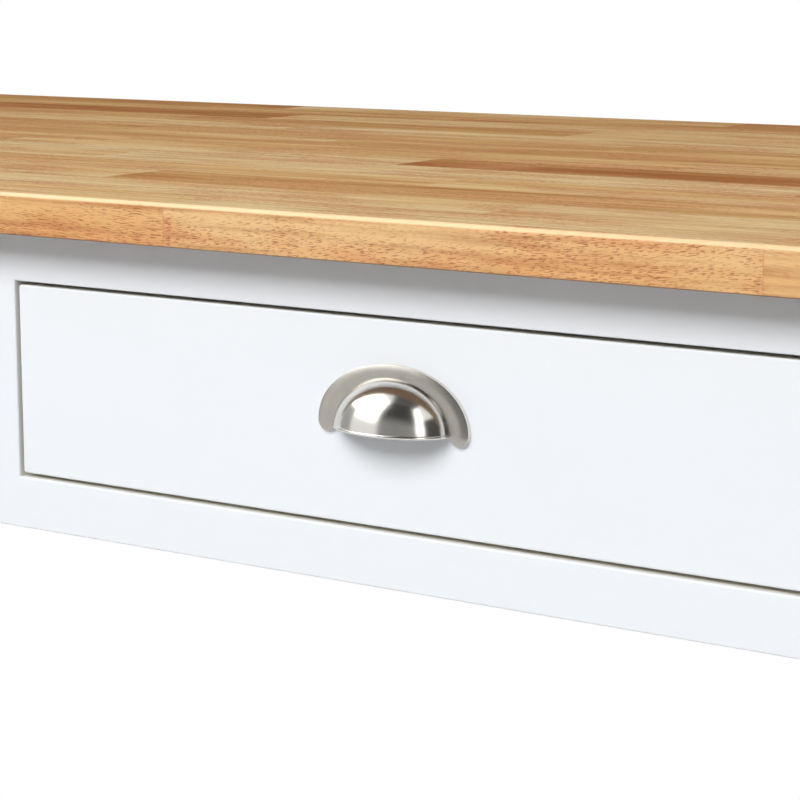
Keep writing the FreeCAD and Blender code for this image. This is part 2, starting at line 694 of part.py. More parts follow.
def shelf_fasteners():
    """Bolts through the legs into the rails' ends, and the barrel nuts that they pull on."""
    bolt = fastener("rail_bolt", (LEG_OUT_X, f"-{RAIL_MID_Y}", RAIL_MID_Z), ALONG["x"] * -1,
                    "rail_bolt_radius", "leg_size + rail_bolt_bite", "rail_bolt_head",
                    "rail_bolt_head_height")
    barrel_x = f"{LEG_IN_X} - barrel_depth"
    barrel = rod("barrel", "barrel_radius", "barrel_length",
                 (barrel_x, f"-{RAIL_MID_Y} - barrel_length / 2", RAIL_MID_Z), ALONG["y"])
    thread = rod("barrel_thread", "rail_bolt_radius + pin_fit", "2 * barrel_radius",
                 (f"{barrel_x} - barrel_radius", f"-{RAIL_MID_Y}", RAIL_MID_Z), ALONG["x"])
    return [four("rail_bolts", bolt), four("barrel_nuts", cut("barrel_nut", barrel, [thread]))]


def caster_stems():
    """Threaded inserts in the legs, and the stems with the king pins that the forks turn on."""
    foot = (LEG_MID_X, f"-{LEG_MID_Y}", LEG_LOW)
    sleeve = rod("insert_sleeve", "stem_radius + insert_wall", "stem_length", foot, ALONG["z"])
    thread = rod("insert_thread", "stem_radius + pin_fit", "stem_length", foot, ALONG["z"])
    insert = cut("leg_insert", sleeve, [thread])
    cap = rod("stem_cap", "cap_radius", "cap_height", (foot[0], foot[1], CAP_LOW), ALONG["z"])
    stem = rod("stem_thread", "stem_radius", "stem_length", foot, ALONG["z"])
    head_low = f"{FORK_LOW} - swivel_gap - kingpin_head_height"
    pin_foot = (foot[0], foot[1], head_low)
    kingpin = rod("kingpin", "kingpin_radius", f"{CAP_LOW} - ({head_low})", pin_foot, ALONG["z"])
    rivet_head = rod("kingpin_rivet", "kingpin_head", "kingpin_head_height", pin_foot, ALONG["z"])
    whole = joined("caster_stem", [cap, stem, kingpin, rivet_head])
    return [four("leg_inserts", insert), four("caster_stems", whole)]


def caster_fork(name, x, y):
    """Two side plates under a bridge that carries the lower race of the swivel."""
    top = RACE_LOW
    tail = f"({PEDAL_Y} + pedal_margin)"
    shoulder = f"({top} - fork_shoulder)"
    points = [("-fork_nose", top), ("-fork_nose", shoulder), ("caster_trail - fork_boss", "wheel_radius"),
              ("caster_trail - fork_boss", "wheel_radius - fork_boss"),
              ("caster_trail + fork_boss", "wheel_radius - fork_boss"),
              ("caster_trail + fork_boss", "wheel_radius"), (tail, shoulder), (tail, top)]
    plates = []
    for side, low_x in (("a", FORK_HALF), ("b", f"-{FORK_HALF} - fork_plate")):
        plate = prism(f"{name}_plate_{side}", "YZ", [points], "fork_plate", (f"{x} + {low_x}", y, "0"))
        boss_low = at("z", "wheel_radius - fork_boss")
        plates.append(rounded(plate, both(runs("x"), boss_low), "fork_boss - fork_boss_flat / 2"))
    across = f"2 * ({FORK_HALF} + fork_plate)"
    left = f"{x} - {FORK_HALF} - fork_plate"
    bridge = box(f"{name}_bridge", (across, "fork_nose + race_radius", "fork_plate"),
                 (left, f"{y} - fork_nose", FORK_LOW))
    race = rod(f"{name}_race", "race_radius", "race_height", (x, y, RACE_LOW), ALONG["z"])
    whole = joined(f"{name}_whole", [*plates, bridge, race])
    pin_hole = rod(f"{name}_pin_hole", "kingpin_radius + pin_fit", "fork_plate + race_height",
                   (x, y, FORK_LOW), ALONG["z"])
    axle_hole = rod(f"{name}_axle_hole", "axle_radius + pin_fit", across,
                    (left, f"{y} + caster_trail", "wheel_radius"), ALONG["x"])
    pedal_hole = rod(f"{name}_pedal_hole", "pedal_pin + pin_fit", across,
                     (left, f"{y} + {PEDAL_Y}", PEDAL_Z), ALONG["x"])
    return cut(name, whole, [pin_hole, axle_hole, pedal_hole])


def caster_axle(name, x, y):
    half = f"({FORK_HALF} + fork_plate)"
    spot = (f"{x} - {half}", f"{y} + caster_trail", "wheel_radius")
    bolt = fastener(f"{name}_bolt", spot, ALONG["x"], "axle_radius", f"2 * {half}", "axle_head_radius",
                    "axle_head_height")
    far = (f"{x} + {half}", spot[1], spot[2])
    cap = rod(f"{name}_cap", "axle_head_radius", "axle_head_height", far, ALONG["x"])
    return joined(name, [bolt, cap])


def caster_wheel(name, x, y):
    """Wheel with a hub, dished sides and a rounded tread."""
    half = "wheel_width / 2"
    bore = "axle_radius + pin_fit"
    dish = f"({half} - wheel_dish)"
    rim = "wheel_radius - wheel_rim"
    points = [(f"-{half}", bore), (f"-{half}", "wheel_hub"), (f"-{dish}", "wheel_hub"), (f"-{dish}", rim),
              (f"-{half}", rim), (f"-{half}", "wheel_radius"), (half, "wheel_radius"), (half, rim),
              (dish, rim), (dish, "wheel_hub"), (half, "wheel_hub"), (half, bore)]
    wheel = turned(name, points, (x, f"{y} + caster_trail", "wheel_radius"))
    radius = number("wheel_radius")

    def tread_edge(edge):
        return edge.Curve.TypeId == "Part::GeomCircle" and abs(edge.Curve.Radius - radius) < NEAR
    return rounded(wheel, tread_edge, "wheel_round")


def brake_pedal(name, x, y):
    """Foot pedal that tips on pins in the fork, behind the wheel."""
    half = f"({FORK_HALF} - pedal_side_gap)"
    pivot_y = f"{y} + {PEDAL_Y}"
    hub = rod(f"{name}_hub", "pedal_hub", f"2 * {half}", (f"{x} - {half}", pivot_y, PEDAL_Z), ALONG["x"])
    outside = f"({FORK_HALF} + fork_plate)"
    pin_end = (f"{x} - {outside}", pivot_y, PEDAL_Z)
    pin = rod(f"{name}_pin", "pedal_pin", f"2 * {outside}", pin_end, ALONG["x"])
    points = [("0", "-pedal_thickness / 2"), ("pedal_length", "pedal_lift - pedal_thickness / 2"),
              ("pedal_length", "pedal_lift + pedal_thickness / 2"), ("0", "pedal_thickness / 2")]
    arm = prism(f"{name}_arm", "YZ", [points], f"2 * {half}", (f"{x} - {half}", pivot_y, PEDAL_Z))
    rounded(arm, both(runs("x"), at("y", "pedal_length")), "(pedal_thickness - pedal_edge) / 2")
    return joined(name, [hub, pin, arm])


def casters():
    nodes = caster_stems()
    for depth, y in (("front", f"-{LEG_MID_Y}"), ("back", LEG_MID_Y)):
        for side, x in (("left", f"-{LEG_MID_X}"), ("right", LEG_MID_X)):
            corner = f"{depth}_{side}"
            nodes.append(caster_fork(f"{corner}_caster_fork", x, y))
            nodes.append(caster_axle(f"{corner}_caster_axle", x, y))
            nodes.append(caster_wheel(f"{corner}_caster_wheel", x, y))
            if depth == "front":
                nodes.append(brake_pedal(f"{corner}_brake_pedal", x, y))
    return nodes


def drawers():
    """Both drawers with their runners, copied from one set of pieces on the cart's centre line."""
    pieces = [drawer_front(), drawer_box_front(), *drawer_box(), *drawer_screws(), cup_pull()]
    pieces += [*cabinet_slides(), *drawer_slides()]
    nodes = []
    for side, x in (("left", f"-{DRAWER_MID}"), ("right", DRAWER_MID)):
        for piece in pieces:
            copy = group(f"{side}_{piece.Label}", [piece])
            nodes.append(place(copy, (x, "0", "0")))
    return nodes


def check(nodes):
    """Stop if anything in the document failed, or a sub-part has no sound shape."""
    for thing in doc.Objects:
        if {"Invalid", "Error"} & set(thing.State):
            raise RuntimeError(f"{thing.Name} failed: {thing.State}")
    for node in nodes:
        if node.Shape.isNull() or not node.Shape.isValid() or not node.Shape.Solids:
            raise RuntimeError(f"{node.Label} has no sound solid")


def main():
    nodes = worktop() + legs() + aprons() + corner_joints() + runner_boards() + drawers()
    nodes += [*shelf_rails(), shelf_slats(), *shelf_fasteners()] + casters()
    doc.recompute()
    check(nodes)
    os.makedirs("parts", exist_ok=True)
    for node in nodes:
        node.Shape.exportStep(f"parts/{node.Label}.step")
    print(len(nodes), "sub-parts written")


main()
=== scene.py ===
import json
import math

import bmesh
import bpy
from bpy.props import FloatProperty, FloatVectorProperty, IntProperty, PointerProperty
from mathutils import Matrix, Vector


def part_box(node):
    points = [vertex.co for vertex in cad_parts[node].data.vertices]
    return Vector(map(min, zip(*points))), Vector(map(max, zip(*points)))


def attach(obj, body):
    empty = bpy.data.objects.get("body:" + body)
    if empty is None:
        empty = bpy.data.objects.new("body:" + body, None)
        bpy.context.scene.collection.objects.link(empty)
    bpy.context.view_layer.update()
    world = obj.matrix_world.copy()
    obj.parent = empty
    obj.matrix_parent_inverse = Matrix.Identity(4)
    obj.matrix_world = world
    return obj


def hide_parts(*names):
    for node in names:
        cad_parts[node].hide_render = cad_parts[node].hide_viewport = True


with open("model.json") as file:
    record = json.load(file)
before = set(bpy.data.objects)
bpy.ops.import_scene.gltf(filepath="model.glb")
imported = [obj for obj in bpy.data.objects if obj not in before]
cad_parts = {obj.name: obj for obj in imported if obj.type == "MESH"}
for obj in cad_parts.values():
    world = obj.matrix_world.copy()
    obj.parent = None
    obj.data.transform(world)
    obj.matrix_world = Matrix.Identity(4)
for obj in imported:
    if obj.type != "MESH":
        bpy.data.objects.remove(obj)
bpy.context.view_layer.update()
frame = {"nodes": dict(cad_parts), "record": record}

bl_info = {
    "name": "Kitchen Cart Dresser",
    "version": (1, 0, 0),
    "blender": (4, 5, 0),
    "location": "View3D > Sidebar > Kitchen Cart",
    "description": "Gives a two-drawer kitchen cart its finishes and its finer shapes",
    "category": "Object",
}

SIDES = ("left", "right")
CORNERS = ("front_left", "front_right", "back_left", "back_right")
SLOTS = {part["node"]: part["material_slot"] for part in frame["record"]["subparts"]}
SHARP_ANGLE = math.radians(34)

# Steps that spread the staves' lengths and joints so that neighbours differ.
LENGTH_STEP = 0.4142
JOINT_STEP = 0.618034

# Rounded rim plate of a pull: rows of points across it, steps round a leg's foot in degrees, and how squarely
# a face looks forward before it counts as brushed.
PLATE_ROWS = 13
FOOT_STEP = 6
BRUSHED_FACING = -0.92

# Half of a caster wheel's outline, from the bore out: distance from its middle and radius, in millimetres.
WHEEL_OUTLINE = (
    (10.0, 3.1), (10.0, 7.4), (9.6, 8.0), (7.2, 8.4), (7.0, 9.0), (7.0, 17.2), (7.4, 17.9), (9.4, 18.4),
    (9.9, 18.8), (10.0, 19.4), (10.0, 20.8), (9.8, 22.2), (9.1, 23.6), (7.9, 24.6), (6.4, 25.0), (3.4, 25.0),
    (3.2, 24.5), (2.4, 24.5), (2.2, 25.0),
)
CENTRE_RADIUS = 0.0185
SPOKE_ASIDE = 0.0080
SPOKE_MIDDLE = 0.0130
SPOKE_SIZE = (0.0024, 0.0022, 0.0104)
SPOKE_ROUND = 0.0004

# Brake pedals: the fall of their tread, and the grip ribs by their distance from the tip.
PEDAL_SLOPE = math.atan2(0.004, 0.028)
PEDAL_ROUND = 0.0004
RIB_PLACES = (0.004, 0.008, 0.012, 0.016)
RIB_SIZE = (0.0150, 0.0013, 0.0012)
RIB_SINK = 0.0001
RIB_ROUND = 0.0003

# Cards round the right pull that only show in reflections: name, compass range and height range in degrees as
# seen from the pull, distance in metres and brightness.
CARDS = (
    ("card_front", (-27, 35), (10, 76), 0.8, 0.05),
    ("card_front_low", (-27, 35), (-24, 45), 0.9, 0.30),
    ("card_right", (44, 130), (-20, 40), 1.0, 0.08),
    ("card_left", (-89, -63), (-12, 26), 1.3, 0.42),
    ("card_far_left", (-117, -95), (-12, 24), 1.3, 0.10),
    ("softbox_left", (-106, -24), (10, 62), 1.6, 3.6),
    ("softbox_right", (29, 50), (-8, 60), 1.6, 2.2),
)
CARD_FADE = 0.72
BACKDROP_TURN = math.radians(32)
BACKDROP_DISTANCE = 2.4
BACKDROP_HEIGHT = 1.4


def linear(red, green, blue):
    """A screen colour, 0 to 255, as the linear colour that shaders use."""
    def channel(level):
        share = level / 255
        return share / 12.92 if share <= 0.04045 else ((share + 0.055) / 1.055) ** 2.4
    return tuple(channel(level) for level in (red, green, blue))


def opaque(colour):
    return (*colour, 1.0)


def colour_property(name, description, screen):
    return FloatVectorProperty(name=name, description=description, subtype="COLOR", size=3, min=0.0, max=1.0,
                               default=linear(*screen))


def length_property(name, description, default):
    return FloatProperty(name=name, description=description, default=default, min=0.0, subtype="DISTANCE",
                         unit="LENGTH", precision=5)


def angle_property(name, description, degrees):
    return FloatProperty(name=name, description=description, default=math.radians(degrees), subtype="ANGLE")


def power_property(name, description, default):
    return FloatProperty(name=name, description=description, default=default, min=0.0, subtype="POWER")


class WorktopLook(bpy.types.PropertyGroup):
    """Sizes and colours of the glued staves."""
    stave_width: length_property("Stave width", "Width of one stave, front to back", 0.051)
    front_stave: length_property("Front stave", "Width of the trimmed stave at the front edge", 0.041)
    piece_length: length_property("Piece length", "Shortest length of wood between two butt joints", 0.305)
    joint_place: length_property("Joint place", "Butt joint in the front stave, right of the middle", 0.162)
    cream: colour_property("Cream", "Palest pieces of wood", (241, 212, 159))
    honey: colour_property("Honey", "Commonest tone of the wood", (233, 192, 131))
    tan: colour_property("Tan", "Deeper tone of the wood", (208, 158, 97))
    russet: colour_property("Russet", "Darkest pieces of wood", (174, 112, 58))
    blush: colour_property("Blush", "Pinkish patches in the wood", (227, 168, 117))
    # Arris: a painted highlight, a near-white cream blended along the worktop's eased upper edge.
    arris_highlight: colour_property("Arris", "Eased upper edge, sanded pale", (255, 219, 168))
    pore: colour_property("Pore", "Short dark dashes of the open pores", (160, 84, 48))
    # Underside: painted shade, a dark grey-brown blended over the worktop's underside where it lies in
    # shadow.
    underside_shade: colour_property("Underside", "Sealed but unpolished underside", (122, 106, 92))


class WoodworkLook(bpy.types.PropertyGroup):
    """Colours of the painted and the bare wood."""
    paint: colour_property("Paint", "Satin paint on legs, aprons, drawer fronts and shelf", (240, 243, 247))
    # Thin paint: painted shade, a warmer and darker white for the edges inside the drawer openings.
    gap_shade: colour_property("Thin paint", "Edges inside the drawer openings", (234, 231, 222))
    bare: colour_property("Bare wood", "Sanded boards of the drawer boxes and runners", (222, 190, 146))
    bare_dark: colour_property("Bare wood, dark", "Late wood lines in the sanded boards", (190, 146, 96))
    sheet: colour_property("Plywood", "Face veneer of the drawer bottoms", (226, 202, 164))


class HardwareLook(bpy.types.PropertyGroup):
    """Colours and fine sizes of the metal, rubber and plastic."""
    nickel: colour_property("Nickel", "Polished cups of the pulls", (230, 227, 221))
    brushed: colour_property("Brushed nickel", "Rim plates of the pulls", (184, 180, 172))
    zinc: colour_property("Zinc", "Zinc plate of the forks, bolts and screws", (200, 203, 207))
    epoxy: colour_property("Epoxy", "Coat on the drawer slides", (236, 236, 232))
    nylon: colour_property("Nylon", "Slide rollers", (228, 227, 220))
    tread: colour_property("Tread", "Rubber tyre of the casters", (72, 72, 75))
    hub: colour_property("Hub", "Plastic centre of the caster wheels", (128, 130, 133))
    pedal: colour_property("Pedal", "Moulded brake pedals", (40, 40, 42))
    pressed_edge: length_property("Pressed edge", "Softening of the forks' pressed edges", 0.0005)
    cup_rise: length_property("Cup rise", "Height of a pull's cup", 0.0247)
    cup_wall: length_property("Cup wall", "Thickness of the cup's sheet", 0.002)
    cup_sink: length_property("Cup sink", "How far the cup reaches below the plate's arch", 0.001)
    cup_lean: angle_property("Cup lean", "Forward lean of the cup's top", 9)
    lip: length_property("Rim lip", "Radius of the bead rolled round the cup's rim", 0.0009)
    leg_width: length_property("Leg width", "Width of the rim plate's legs", 0.0097)
    leg_drop: length_property("Leg drop", "How far the legs reach below the arch", 0.0054)
    plate_thickness: length_property("Plate thickness", "Rim plate at its outer edge", 0.0023)
    plate_round: length_property("Plate rounding", "Rounding of the plate's outer edge", 0.0009)
    plate_crown: length_property("Plate crown", "How much the plate rises towards the cup", 0.0008)
    crown_width: length_property("Crown width", "Distance over which the plate rises", 0.0048)
    plate_overlap: length_property("Plate overlap", "How far the plate runs in under the cup's side", 0.0012)
    plate_inner_rise: length_property("Inner rise", "Height of the plate's inner edge", 0.0185)
    spoke_count: IntProperty(name="Spokes", description="Ribs on each side of a wheel", default=6, min=3)


class StageLook(bpy.types.PropertyGroup):
    """Floor, light and camera."""
    floor: colour_property("Floor", "Pale studio floor", (228, 228, 228))
    key_power: power_property("Key light", "Large soft light in front and above", 36.5)
    side_power: power_property("Side lights", "Low soft lights left and right", 22.0)
    back_power: power_property("Back light", "Low soft light behind", 34.0)
    fill: FloatProperty(name="Fill", description="Light from all round", default=0.25, min=0.0)
    lens: FloatProperty(name="Lens", description="Focal length in millimetres", default=103.5, min=1.0)
    aside: length_property("Aside", "How far right of the right pull the camera stands", 0.5619)
    away: length_property("Away", "How far in front of the cart's middle the camera stands", 1.1996)
    height: length_property("Height", "Height of the camera over the floor", 1.0061)
    yaw: angle_property("Yaw", "Turn of the camera to the left", 32.553)
    pitch: angle_property("Pitch", "Downward tilt of the camera", 10.498)
    roll: angle_property("Roll", "Roll of the camera", 0.124)


class Value:
    """A socket's value. Arithmetic on it adds Math nodes."""

    def __init__(self, nodes, socket):
        self.nodes = nodes
        self.socket = socket

    def maths(self, operation, *terms):
        return self.nodes.node("ShaderNodeMath", {"operation": operation}, dict(enumerate(terms)))

    def __add__(self, other):
        return self.maths("ADD", self, other)

    __radd__ = __add__

    def __sub__(self, other):
        return self.maths("SUBTRACT", self, other)

    def __rsub__(self, other):
        return self.maths("SUBTRACT", other, self)

    def __mul__(self, other):
        return self.maths("MULTIPLY", self, other)

    def __truediv__(self, other):
        return self.maths("DIVIDE", self, other)

    def size(self):
        return self.maths("ABSOLUTE", self)

    def floor(self):
        return self.maths("FLOOR", self)

    def fraction(self):
        return self.maths("FRACT", self)

    def least(self, other):
        return self.maths("MINIMUM", self, other)

    def most(self, other):
        return self.maths("MAXIMUM", self, other)

    def rise(self, low, high):
        """0 below low, 1 above high and smooth between them."""
        return self.nodes.node("ShaderNodeMapRange", {"interpolation_type": "SMOOTHSTEP"},
                               {0: self, 1: low, 2: high, 3: 0.0, 4: 1.0})

    def output(self, name):
        return Value(self.nodes, self.socket.node.outputs[name])


class Nodes:
    """A node tree that is filled by expressions."""

    def __init__(self, owner):
        owner.use_nodes = True
        self.owner = owner
        self.tree = owner.node_tree
        self.tree.nodes.clear()

    def node(self, kind, settings=None, sockets=None, out=0):
        """Add one node: its settings first, then the values or links of its sockets."""
        node = self.tree.nodes.new(kind)
        for key, setting in (settings or {}).items():
            if key == "stops":
                self.set_stops(node.color_ramp.elements, setting)
            else:
                setattr(node, key, setting)
        for key, term in (sockets or {}).items():
            if isinstance(term, Value):
                self.tree.links.new(term.socket, node.inputs[key])
            else:
                node.inputs[key].default_value = term
        return Value(self, node.outputs[out]) if node.outputs else None

    def set_stops(self, elements, stops):
        while len(elements) < len(stops):
            elements.new(1.0)
        for element, (place, colour) in zip(elements, stops):
            element.position = place
            element.color = opaque(colour)

    def spot(self):
        return self.node("ShaderNodeTexCoord", out="Object")

    def axes(self, vector):
        x = self.node("ShaderNodeSeparateXYZ", None, {0: vector}, "X")
        return x, x.output("Y"), x.output("Z")

    def vector(self, x, y, z):
        return self.node("ShaderNodeCombineXYZ", None, {0: x, 1: y, 2: z})

    def stretched(self, vector, scale):
        return self.node("ShaderNodeVectorMath", {"operation": "MULTIPLY"}, {0: vector, 1: scale})

    def shifted(self, vector, offset):
        return self.node("ShaderNodeVectorMath", {"operation": "ADD"}, {0: vector, 1: offset})

    def reach(self, vector, direction):
        """How far a vector goes along a direction, either way."""
        along = self.node("ShaderNodeVectorMath", {"operation": "DOT_PRODUCT"}, {0: vector, 1: direction},
                          "Value")
        return along.size()

    def noise(self, vector, scale, detail=2.0, distortion=0.0):
        return self.node("ShaderNodeTexNoise", None, {"Vector": vector, "Scale": scale, "Detail": detail,
                                                      "Distortion": distortion}, "Fac")

    def chance(self, x, y):
        """One number from 0 to 1 for each pair of whole numbers."""
        spot = self.vector(x + 0.5, y + 0.5, 0.5)
        return self.node("ShaderNodeTexWhiteNoise", {"noise_dimensions": "3D"}, {"Vector": spot}, "Value")

    def blend(self, factor, first, second, kind="MIX"):
        return self.node("ShaderNodeMix", {"data_type": "RGBA", "blend_type": kind},
                         {0: factor, 6: first, 7: second}, 2)

    def ramp(self, factor, stops):
        return self.node("ShaderNodeValToRGB", {"stops": stops}, {0: factor}, "Color")

    def bump(self, height, distance):
        return self.node("ShaderNodeBump", None, {"Height": height, "Distance": distance}, "Normal")

    def surface(self, **sockets):
        """Finish with one principled surface. Socket names use _ for a space."""
        named = {key.replace("_", " "): term for key, term in sockets.items()}
        shader = self.node("ShaderNodeBsdfPrincipled", None, named, "BSDF")
        self.node("ShaderNodeOutputMaterial", None, {"Surface": shader})
        return self.owner

    def mixture(self, share, first, second):
        """Finish with two shaders, the second by its share."""
        mixed = self.node("ShaderNodeMixShader", None, {0: share, 1: first, 2: second})
        self.node("ShaderNodeOutputMaterial", None, {"Surface": mixed})
        return self.owner


def new_finish(name):
    return Nodes(bpy.data.materials.new(name))


def seam_mask(place, length, width):
    """1 on the line between two neighbours whose place runs from 0 to 1 over a length."""
    edge = place.least(1.0 - place) * length
    return 1.0 - edge.rise(width * 0.4, width)


def edge_masks(x, y, z):
    """1 on the sides of the worktop, and 1 on the eased edge round its top."""
    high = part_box("worktop")[1]
    ease = 0.0025
    beyond_x = x.size() - (high.x - ease)
    beyond_y = y.size() - (high.y - ease)
    beyond = beyond_x.most(beyond_y)
    above = z - (high.z - ease)
    return beyond.rise(0.0012, 0.0020), beyond.rise(0.0002, 0.0011) * above.rise(0.0002, 0.0011)


def stave_finish(look):
    """Glued rubberwood staves along X, each of butted pieces, under satin varnish."""
    wood = new_finish("worktop_staves")
    spot = wood.spot()
    x, y, z = wood.axes(spot)
    _, front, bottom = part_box("worktop")[0]
    across = (y - (front + look.front_stave - look.stave_width)) / look.stave_width
    stave = across.floor()
    length = (stave * LENGTH_STEP).fraction() * (look.piece_length * 0.7) + look.piece_length
    along = (x - look.joint_place) / length + (stave * JOINT_STEP).fraction()
    piece = along.floor()
    calm = stave.most(0.0).least(1.0) * 0.62 + 0.38
    tone = wood.chance(stave, piece) * calm
    other = wood.chance(stave + 37.0, piece - 11.0)
    moved = wood.shifted(spot, wood.vector(other * 3.0, tone * 2.0, other * 5.0))
    figure = wood.noise(wood.stretched(moved, (2.4, 34.0, 34.0)), 1.0, 4.0, 0.6)
    streak = wood.noise(wood.stretched(moved, (11.0, 300.0, 300.0)), 1.0, 4.0)
    along_x, along_y, along_z = wood.axes(moved)
    slant = along_x * (0.06 - other * 0.20)
    slanted = wood.vector(along_x, along_y + slant, along_z + slant)
    dash = wood.noise(wood.stretched(slanted, (190.0, 2400.0, 2400.0)), 1.0, 1.0)
    patch = wood.noise(wood.stretched(moved, (11.0, 46.0, 46.0)), 1.0, 3.0, 0.4)
    colour = wood.ramp(tone * 0.92 + (figure - 0.5) * 1.25 + 0.06,
                       [(0.10, look.cream), (0.42, look.honey), (0.72, look.tan), (0.97, look.russet)])
    colour = wood.blend(patch.rise(0.46, 0.68) * 0.62, colour, opaque(look.blush))
    colour = wood.blend(streak.rise(0.40, 0.72) * 0.42, colour, opaque(look.russet), "MULTIPLY")
    pores = dash.rise(0.55, 0.63) * (patch.rise(0.34, 0.58) * 0.85 + 0.15)
    colour = wood.blend(pores * 0.66, colour, opaque(look.pore))
    knot_spot = wood.stretched(spot, (1.9, 5.2, 0.0))
    knot = wood.node("ShaderNodeTexVoronoi", {"feature": "F1"}, {"Vector": knot_spot, "Scale": 1.0},
                     "Distance")
    knots = 1.0 - knot.rise(0.012, 0.030)
    colour = wood.blend(knots * 0.75, colour, opaque(look.pore))
    glue_lines = seam_mask(across - stave, look.stave_width, 0.0005)
    seams = glue_lines.most(seam_mask(along - piece, look.piece_length, 0.0006))
    colour = wood.blend(seams * 0.14, colour, opaque(look.pore))
    # Painted shade: the worktop's underside is blended towards the dark underside colour.
    under = 1.0 - z.rise(bottom + 0.0003, bottom + 0.0009)
    colour = wood.blend(under * 0.75, colour, opaque(look.underside_shade))
    sides, arris_highlight = edge_masks(x, y, z)
    colour = wood.blend(sides * 0.32, colour, opaque(look.blush), "MULTIPLY")
    # Painted highlight: the eased edge is blended towards the near-white arris colour; the same mask also
    # sets the real coat.
    colour = wood.blend(arris_highlight * 0.8, colour, opaque(look.arris_highlight))
    height = streak * 0.5 - pores - seams
    return wood.surface(Base_Color=colour, Roughness=0.40 + streak * 0.14 + pores * 0.2,
                        Normal=wood.bump(height, 0.00006), Specular_IOR_Level=0.12,
                        Coat_Weight=arris_highlight * 0.5, Coat_Roughness=0.22)


def paint_finish(look):
    """Satin paint with the faint peel that a spray gun leaves, and painted shade, warmer and darker, inside
    the drawer openings.
    """
    paint = new_finish("white_satin_paint")
    spot = paint.spot()
    peel = paint.noise(spot, 620.0, 2.0)
    cloud = paint.noise(spot, 6.0, 2.0)
    colour = paint.blend(cloud, opaque(look.paint), opaque(tuple(level * 0.975 for level in look.paint)))
    x, y, z = paint.axes(spot)
    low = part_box("left_drawer_front")[0]
    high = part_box("right_drawer_front")[1]
    near = 0.0025
    far = 0.0030
    beside = (x * x).rise((high.x + near) ** 2, (high.x + far) ** 2)
    over = z.rise(high.z + near, high.z + far)
    under = 1.0 - z.rise(low.z - far, low.z - near)
    behind = y.rise(high.y + near * 2, high.y + far * 2)
    outside = beside.most(over).most(under).most(behind)
    # Painted shade: the recessed edges inside the drawer openings are blended towards the warmer, darker
    # white.
    gap_shade_share = y.rise(low.y + 0.0004, low.y + 0.0022) * (1.0 - outside)
    colour = paint.blend(gap_shade_share, colour, opaque(look.gap_shade))
    return paint.surface(Base_Color=colour, Roughness=0.36 + peel * 0.06 + cloud * 0.06,
                         Normal=paint.bump(peel, 0.00002), Specular_IOR_Level=0.4)


def board_finish(name, grain, pale, dark):
    """Sanded softwood with its grain along one axis."""
    board = new_finish(name)
    spot = board.spot()
    ring = board.noise(board.stretched(spot, grain), 60.0, 3.0, 0.8)
    fibre = board.noise(board.stretched(spot, grain), 520.0, 2.0)
    bands = (ring * 9.0).fraction()
    lines = bands.rise(0.55, 0.95) * (1.0 - bands.rise(0.95, 1.0))
    colour = board.blend(lines * 0.6 + fibre * 0.25, opaque(pale), opaque(dark))
    return board.surface(Base_Color=colour, Roughness=0.62 + fibre * 0.14,
                         Normal=board.bump(fibre, 0.00005))


def metal_finish(name, colour, grain, rough, spread, bump):
    """Plated metal, polished or brushed, with a fine drawn grain."""
    metal = new_finish(name)
    spot = metal.spot()
    line = metal.noise(metal.stretched(spot, grain), 1.0, 3.0)
    bloom = metal.noise(spot, 140.0, 2.0)
    tint = metal.blend(bloom, opaque(colour), opaque(tuple(level * 0.84 for level in colour)))
    roughness = rough + line * spread + bloom * (spread * 0.5)
    return metal.surface(Base_Color=tint, Metallic=1.0, Roughness=roughness, Normal=metal.bump(line, bump))


def moulded_finish(name, colour, rough, grain=900.0, bump=0.00003):
    """Moulded plastic, rubber or a powder coat, with its fine surface grain."""
    moulded = new_finish(name)
    spot = moulded.spot()
    pit = moulded.noise(spot, grain, 2.0)
    cloud = moulded.noise(spot, 40.0, 2.0)
    tint = moulded.blend(cloud, opaque(colour), opaque(tuple(level * 0.88 for level in colour)))
    return moulded.surface(Base_Color=tint, Roughness=rough + pit * 0.12, Normal=moulded.bump(pit, bump))


def dress(nodes, finish):
    """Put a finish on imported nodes."""
    for node in nodes:
        thing = frame["nodes"][node]
        if not thing.material_slots:
            raise RuntimeError(f"{node} has no material slot")
        for slot in thing.material_slots:
            slot.material = finish


def slot_nodes(slot):
    return [node for node, name in SLOTS.items() if name == slot]


def shade(form):
    """Smooth faces, with the edges that turn sharply kept sharp."""
    for face in form.faces:
        face.smooth = True
    for edge in form.edges:
        edge.smooth = edge.calc_face_angle(0.0) < SHARP_ANGLE


def round_edges(form, edges, width, segments=2, clamp=False):
    bmesh.ops.bevel(form, geom=edges, offset=width, offset_type="OFFSET", segments=segments, profile=0.5,
                    affect="EDGES", material=-1, clamp_overlap=clamp)


def piece_from(form, name, finishes):
    """Make an object from a bmesh and free it."""
    shade(form)
    mesh = bpy.data.meshes.new(name)
    form.to_mesh(mesh)
    form.free()
    for finish in finishes:
        mesh.materials.append(finish)
    piece = bpy.data.objects.new(name, mesh)
    bpy.context.scene.collection.objects.link(piece)
    return piece


def settle(piece, body, node):
    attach(piece, body)
    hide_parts(node)


def softened_copy(node, name, finishes, width):
    """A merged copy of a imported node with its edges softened."""
    form = bmesh.new()
    form.from_mesh(frame["nodes"][node].data)
    bmesh.ops.remove_doubles(form, verts=form.verts[:], dist=0.00001)
    piece = piece_from(form, name, finishes)
    soft = piece.modifiers.new("pressed_edge", "BEVEL")
    soft.width = width
    soft.segments = 2
    soft.limit_method = "ANGLE"
    soft.angle_limit = math.radians(50)
    return piece


def everything(form):
    return [*form.verts, *form.edges, *form.faces]


def keep_side(form, normal):
    """Cut a form at the origin and keep what lies on the normal's side."""
    bmesh.ops.bisect_plane(form, geom=everything(form), dist=0.000001, plane_co=(0, 0, 0), plane_no=normal,
                           clear_inner=True)


